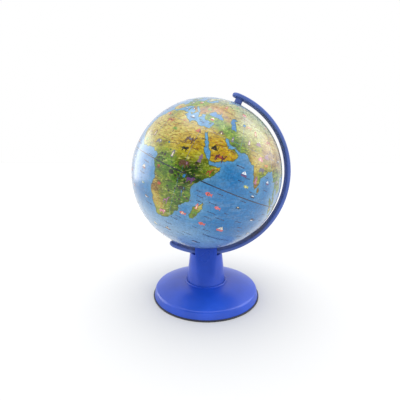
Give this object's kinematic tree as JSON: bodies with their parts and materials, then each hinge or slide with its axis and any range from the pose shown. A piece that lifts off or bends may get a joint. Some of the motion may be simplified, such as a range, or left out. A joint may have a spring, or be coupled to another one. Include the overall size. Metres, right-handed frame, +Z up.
{
  "type": "desktop globe on stand",
  "caption": "Small desktop globe that spins on a tilted axis in a half-round plastic arm, on a conical column and a domed round base.",
  "frame": {"origin": "centre of the foot pad's underside, on the table", "axes": "+Z up; the arm lies in the XZ plane and the north pole leans towards +X, so the front is seen along +Y"},
  "size_m": [0.1702, 0.16, 0.2239],
  "materials": {
    "printed_ball": "glossy printed map under lacquer",
    "white_plastic": "plain moulded",
    "bush_plastic": "plain moulded",
    "blue_plastic": "satin royal blue",
    "steel": "zinc plated",
    "ballast_steel": "raw",
    "black_plastic": "matt",
    "pad_rubber": "soft matt"
  },
  "bodies": {
    "stand": {"meridian_arm": "blue_plastic", "north_pivot_pin": "steel", "south_pivot_pin": "steel", "north_spacer_washer": "bush_plastic", "south_spacer_washer": "bush_plastic", "column": "blue_plastic", "arm_screw": "steel", "arm_screw_washer": "steel", "column_screws": "steel", "base_shell": "blue_plastic", "ballast_disc": "ballast_steel", "ballast_screws": "steel", "bottom_cover": "black_plastic", "cover_screws": "steel", "base_pad": "pad_rubber"},
    "globe": {"north_hemisphere": "printed_ball", "south_hemisphere": "printed_ball", "equator_joint_ring": "white_plastic", "north_pole_bush": "bush_plastic", "south_pole_bush": "bush_plastic"}
  },
  "joints": [
    {"name": "globe_spin", "type": "hinge", "parent": "stand", "child": "globe", "pos_m": [0, 0, 0.1385], "axis": [0.3987, 0, 0.9171], "continuous": true}
  ]
}
